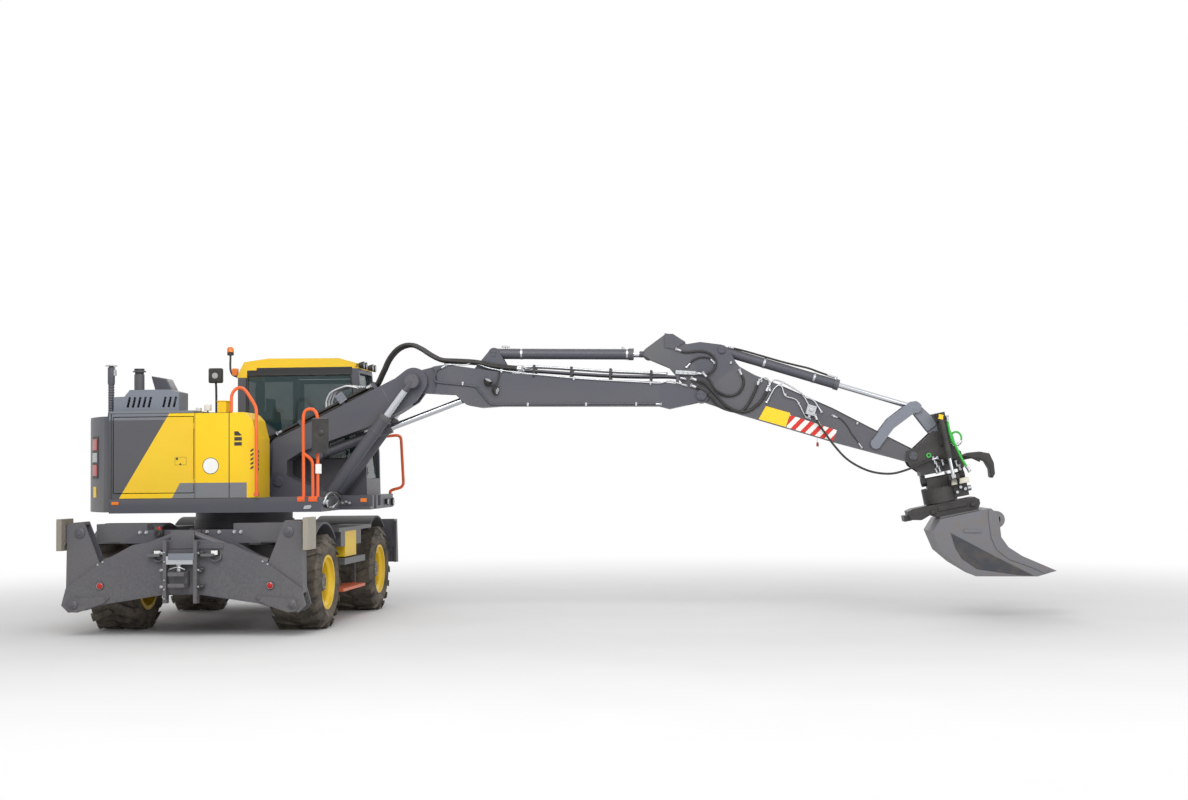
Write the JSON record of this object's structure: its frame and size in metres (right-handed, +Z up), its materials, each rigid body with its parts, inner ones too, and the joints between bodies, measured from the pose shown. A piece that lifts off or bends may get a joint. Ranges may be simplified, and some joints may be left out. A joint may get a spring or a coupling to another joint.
{
  "type": "wheeled excavator",
  "caption": "Wheeled excavator with a two-piece boom, tiltrotator and digging bucket, front dozer blade and rear outriggers, steered single wheels and a slewing upper with cab and louvred hood.",
  "frame": {"origin": "On the ground under the middle of the whole machine, at rest as parked", "axes": "+X points along the boom towards the bucket, +Y to the driver's left, +Z up. The undercarriage's front points 87.7 degrees to the left of the boom."},
  "size_m": [11.4668, 5.2117, 3.4235],
  "materials": {
    "painted_dark_grey": "semi_gloss",
    "painted_yellow": "gloss",
    "painted_orange": "gloss",
    "painted_light_grey": "semi_gloss",
    "chrome_rod": "polished",
    "bare_steel": "satin",
    "cast_black": "satin",
    "tyre_rubber": "matte",
    "black_plastic": "matte",
    "clear_glass": "gloss",
    "seat_fabric": "matte"
  },
  "bodies": {
    "chassis": {"chassis_frame": "painted_dark_grey", "axles": "painted_dark_grey", "rear_beam": "painted_dark_grey", "tow_hitch": "painted_dark_grey", "side_lockers": "painted_yellow", "mudguards": "black_plastic"},
    "knuckle_left_body": {"knuckle_left": "cast_black"},
    "wheel_front_left": {"tyre_front_left": "tyre_rubber", "rim_front_left": "painted_yellow"},
    "wheel_rear_left": {"tyre_rear_left": "tyre_rubber", "rim_rear_left": "painted_yellow"},
    "knuckle_right_body": {"knuckle_right": "cast_black"},
    "wheel_front_right": {"tyre_front_right": "tyre_rubber", "rim_front_right": "painted_yellow"},
    "wheel_rear_right": {"tyre_rear_right": "tyre_rubber", "rim_rear_right": "painted_yellow"},
    "blade_arms_body": {"blade_arms": "painted_dark_grey"},
    "blade_body": {"blade": "painted_dark_grey"},
    "blade_barrels_body": {"blade_barrels": "painted_dark_grey"},
    "blade_rods_body": {"blade_rods": "chrome_rod"},
    "leg_left_body": {"leg_left": "painted_dark_grey"},
    "leg_barrel_left_body": {"leg_barrel_left": "painted_dark_grey"},
    "leg_rod_left_body": {"leg_rod_left": "chrome_rod"},
    "leg_right_body": {"leg_right": "painted_dark_grey"},
    "leg_barrel_right_body": {"leg_barrel_right": "painted_dark_grey"},
    "leg_rod_right_body": {"leg_rod_right": "chrome_rod"},
    "upper": {"upper_frame": "painted_dark_grey", "counterweight": "painted_dark_grey", "engine": "cast_black", "housing": "painted_yellow", "rails": "painted_orange", "mirrors": "black_plastic", "cab_shell": "painted_dark_grey", "cab_glass": "clear_glass", "operator_station": "seat_fabric"},
    "cab_door_body": {"cab_door": "painted_dark_grey", "cab_door_glass": "clear_glass"},
    "hood_lid_body": {"hood_lid": "painted_light_grey"},
    "right_door_body": {"right_door": "painted_yellow"},
    "left_door_body": {"left_door": "painted_yellow"},
    "boom_base_body": {"boom_base": "painted_dark_grey"},
    "lift_barrels_body": {"lift_barrels": "painted_dark_grey"},
    "lift_rods_body": {"lift_rods": "chrome_rod"},
    "boom_main_body": {"boom_main": "painted_dark_grey"},
    "adjust_barrel_body": {"adjust_barrel": "painted_dark_grey"},
    "adjust_rod_body": {"adjust_rod": "chrome_rod"},
    "arm_body": {"arm": "painted_dark_grey"},
    "arm_barrel_body": {"arm_barrel": "painted_dark_grey"},
    "arm_rod_body": {"arm_rod": "chrome_rod"},
    "bucket_barrel_body": {"bucket_barrel": "painted_dark_grey"},
    "bucket_rod_body": {"bucket_rod": "chrome_rod"},
    "rocker_body": {"rocker": "painted_light_grey"},
    "link_body": {"link": "painted_light_grey"},
    "coupler_body": {"coupler": "cast_black", "tilt_barrels": "cast_black"},
    "tilt_rod_left_body": {"tilt_rod_left": "chrome_rod"},
    "tilt_rod_right_body": {"tilt_rod_right": "chrome_rod"},
    "rotor_body": {"rotor": "cast_black"},
    "tool": {"quick_hitch": "cast_black", "bucket": "bare_steel"}
  },
  "joints": [
    {"name": "steer_left", "type": "hinge", "parent": "chassis", "child": "knuckle_left_body", "pos_m": [-4.67245, 1.35889, 0.5275], "axis": [0, 0, 1], "range_deg": [-28, 28]},
    {"name": "steer_right", "type": "hinge", "parent": "chassis", "child": "knuckle_right_body", "pos_m": [-3.07374, 1.29468, 0.5275], "axis": [0, 0, 1], "range_deg": [-28.2, 28.2]},
    {"name": "spin_front_left", "type": "hinge", "parent": "knuckle_left_body", "child": "wheel_front_left", "pos_m": [-4.92974, 1.36923, 0.5275], "axis": [-0.9992, 0.0401, 0], "continuous": true},
    {"name": "spin_rear_left", "type": "hinge", "parent": "chassis", "child": "wheel_rear_left", "pos_m": [-5.03408, -1.22868, 0.5275], "axis": [-0.9992, 0.0401, 0], "continuous": true},
    {"name": "spin_front_right", "type": "hinge", "parent": "knuckle_right_body", "child": "wheel_front_right", "pos_m": [-2.81644, 1.28435, 0.5275], "axis": [-0.9992, 0.0401, 0], "continuous": true},
    {"name": "spin_rear_right", "type": "hinge", "parent": "chassis", "child": "wheel_rear_right", "pos_m": [-2.92079, -1.31356, 0.5275], "axis": [-0.9992, 0.0401, 0], "continuous": true},
    {"name": "blade_lift", "type": "hinge", "parent": "chassis", "child": "blade_arms_body", "pos_m": [-3.86117, 1.62355, 0.5], "axis": [0.9992, -0.0401, 0], "range_deg": [-50, 4]},
    {"name": "blade_level", "type": "hinge", "parent": "blade_arms_body", "child": "blade_body", "pos_m": [-3.83388, 2.303, 0.64], "axis": [0.9992, -0.0401, 0], "range_deg": [-4.5, 50.5]},
    {"name": "blade_barrel_swing", "type": "hinge", "parent": "chassis", "child": "blade_barrels_body", "pos_m": [-3.86438, 1.54361, 1.035], "axis": [0.9992, -0.0401, 0], "range_deg": [-24.88, 2.45]},
    {"name": "blade_rod_slide", "type": "slide", "parent": "blade_barrels_body", "child": "blade_rods_body", "axis": [0.0343, 0.8548, -0.5178], "range_m": [-0.02516, 0.29148]},
    {"name": "leg_swing_left", "type": "hinge", "parent": "chassis", "child": "leg_left_body", "pos_m": [-5.24289, -2.20408, 0.36], "axis": [-0.0401, -0.9992, 0], "range_deg": [0, 110]},
    {"name": "leg_barrel_swing_left", "type": "hinge", "parent": "chassis", "child": "leg_barrel_left_body", "pos_m": [-4.08683, -2.25052, 1.12], "axis": [-0.0401, -0.9992, 0], "range_deg": [-0.5, 2.17]},
    {"name": "leg_rod_slide_left", "type": "slide", "parent": "leg_barrel_left_body", "child": "leg_rod_left_body", "axis": [-0.9356, 0.0376, -0.351], "range_m": [-0.002, 0.80185]},
    {"name": "leg_swing_right", "type": "hinge", "parent": "chassis", "child": "leg_right_body", "pos_m": [-2.79087, -2.30257, 0.36], "axis": [0.0401, 0.9992, 0], "range_deg": [0, 110]},
    {"name": "leg_barrel_swing_right", "type": "hinge", "parent": "chassis", "child": "leg_barrel_right_body", "pos_m": [-3.94694, -2.25613, 1.12], "axis": [0.0401, 0.9992, 0], "range_deg": [-0.5, 2.17]},
    {"name": "leg_rod_slide_right", "type": "slide", "parent": "leg_barrel_right_body", "child": "leg_rod_right_body", "axis": [0.9356, -0.0376, -0.351], "range_m": [-0.002, 0.80185]},
    {"name": "slew", "type": "hinge", "parent": "chassis", "child": "upper", "pos_m": [-3.93341, -0.175, 1.225], "axis": [0, 0, 1], "continuous": true},
    {"name": "cab_door_swing", "type": "hinge", "parent": "upper", "child": "cab_door_body", "pos_m": [-3.54541, 1.08, 1.568], "axis": [0, 0, 1], "range_deg": [0, 100]},
    {"name": "right_door_swing", "type": "hinge", "parent": "upper", "child": "right_door_body", "pos_m": [-4.18441, -1.445, 1.566], "axis": [0, 0, 1], "range_deg": [0, 100]},
    {"name": "left_door_swing", "type": "hinge", "parent": "upper", "child": "left_door_body", "pos_m": [-4.19441, 1.095, 1.566], "axis": [0, 0, -1], "range_deg": [0, 100]},
    {"name": "hood_lift", "type": "hinge", "parent": "upper", "child": "hood_lid_body", "pos_m": [-4.18341, -0.175, 2.4803], "axis": [0, 1, 0], "range_deg": [0, 50]},
    {"name": "boom_lift", "type": "hinge", "parent": "upper", "child": "boom_base_body", "pos_m": [-3.46141, -0.175, 1.675], "axis": [0, -1, 0], "range_deg": [-38, 34]},
    {"name": "lift_barrel_swing", "type": "hinge", "parent": "upper", "child": "lift_barrels_body", "pos_m": [-2.86341, -0.175, 1.48], "axis": [0, -1, 0], "range_deg": [-44.12, 39.53]},
    {"name": "lift_rod_slide", "type": "slide", "parent": "lift_barrels_body", "child": "lift_rods_body", "axis": [0.6008, 0, 0.7994], "range_m": [-0.36572, 0.32743]},
    {"name": "boom_adjust", "type": "hinge", "parent": "boom_base_body", "child": "boom_main_body", "pos_m": [-1.82153, -0.175, 2.86644], "axis": [0, 1, 0], "range_deg": [-6, 60]},
    {"name": "adjust_barrel_swing", "type": "hinge", "parent": "boom_base_body", "child": "adjust_barrel_body", "pos_m": [-3.0019, -0.175, 1.99526], "axis": [0, 1, 0], "range_deg": [-1.71, 12.57]},
    {"name": "adjust_rod_slide", "type": "slide", "parent": "adjust_barrel_body", "child": "adjust_rod_body", "axis": [0.9387, 0, 0.3447], "range_m": [-0.61119, 0.06292]},
    {"name": "arm_swing", "type": "hinge", "parent": "boom_main_body", "child": "arm_body", "pos_m": [1.64535, -0.175, 2.66047], "axis": [0, 1, 0], "range_deg": [-5, 105]},
    {"name": "arm_barrel_swing", "type": "hinge", "parent": "boom_main_body", "child": "arm_barrel_body", "pos_m": [-0.85407, -0.175, 3.19965], "axis": [0, 1, 0], "range_deg": [-0.51, 0.72]},
    {"name": "arm_rod_slide", "type": "slide", "parent": "arm_barrel_body", "child": "arm_rod_body", "axis": [0.9998, 0, -0.0178], "range_m": [-0.06266, 1.27575]},
    {"name": "bucket_swing", "type": "hinge", "parent": "arm_body", "child": "coupler_body", "pos_m": [4.13917, -0.175, 1.90754], "axis": [0, 1, 0], "range_deg": [-55, 88]},
    {"name": "rocker_swing", "type": "hinge", "parent": "arm_body", "child": "rocker_body", "pos_m": [3.70497, -0.175, 2.05744], "axis": [0, 1, 0], "range_deg": [-29.32, 46.61]},
    {"name": "link_swing", "type": "hinge", "parent": "rocker_body", "child": "link_body", "pos_m": [4.18089, -0.175, 2.48513], "axis": [0, 1, 0], "range_deg": [-28.16, 17.79]},
    {"name": "bucket_barrel_swing", "type": "hinge", "parent": "arm_body", "child": "bucket_barrel_body", "pos_m": [1.89476, -0.175, 3.19938], "axis": [0, 1, 0], "range_deg": [-5.07, 7.82]},
    {"name": "bucket_rod_slide", "type": "slide", "parent": "bucket_barrel_body", "child": "bucket_rod_body", "axis": [0.9545, 0, -0.2982], "range_m": [-0.24308, 0.38773]},
    {"name": "tilt", "type": "hinge", "parent": "coupler_body", "child": "rotor_body", "pos_m": [4.42202, -0.175, 1.62555], "axis": [0.9823, 0, 0.1874], "range_deg": [-40, 40]},
    {"name": "tilt_rod_slide_left", "type": "slide", "parent": "coupler_body", "child": "tilt_rod_left_body", "axis": [-0.1874, 0, 0.9823], "range_m": [-0.17454, 0.17454]},
    {"name": "tilt_rod_slide_right", "type": "slide", "parent": "coupler_body", "child": "tilt_rod_right_body", "axis": [-0.1874, 0, 0.9823], "range_m": [-0.17454, 0.17454]},
    {"name": "rotate", "type": "hinge", "parent": "rotor_body", "child": "tool", "pos_m": [4.47262, -0.175, 1.36033], "axis": [-0.1874, 0, 0.9823], "continuous": true}
  ],
  "couplings": [
    {"joint": "steer_right", "follows": "steer_left", "ratio": 1},
    {"joint": "blade_level", "follows": "blade_lift", "ratio": -1},
    {"joint": "blade_barrel_swing", "follows": "blade_lift", "ratio": 0.48751},
    {"joint": "blade_rod_slide", "follows": "blade_lift", "m_per_rad": -0.33172},
    {"joint": "leg_barrel_swing_left", "follows": "leg_swing_left", "ratio": 0.015173},
    {"joint": "leg_rod_slide_left", "follows": "leg_swing_left", "m_per_rad": 0.41662},
    {"joint": "leg_barrel_swing_right", "follows": "leg_swing_right", "ratio": 0.015173},
    {"joint": "leg_rod_slide_right", "follows": "leg_swing_right", "m_per_rad": 0.41662},
    {"joint": "lift_barrel_swing", "follows": "boom_lift", "ratio": 1.1478},
    {"joint": "lift_rod_slide", "follows": "boom_lift", "m_per_rad": 0.54841},
    {"joint": "adjust_barrel_swing", "follows": "boom_adjust", "ratio": 0.2011},
    {"joint": "adjust_rod_slide", "follows": "boom_adjust", "m_per_rad": -0.58174},
    {"joint": "arm_barrel_swing", "follows": "arm_swing", "ratio": 0.0020484},
    {"joint": "arm_rod_slide", "follows": "arm_swing", "m_per_rad": 0.69505},
    {"joint": "rocker_swing", "follows": "bucket_swing", "ratio": 0.52401},
    {"joint": "link_swing", "follows": "bucket_swing", "ratio": -0.31435},
    {"joint": "bucket_barrel_swing", "follows": "bucket_swing", "ratio": 0.083137},
    {"joint": "bucket_rod_slide", "follows": "bucket_swing", "m_per_rad": 0.25115},
    {"joint": "tilt_rod_slide_left", "follows": "tilt", "m_per_rad": 0.24714},
    {"joint": "tilt_rod_slide_right", "follows": "tilt", "m_per_rad": -0.24714}
  ]
}
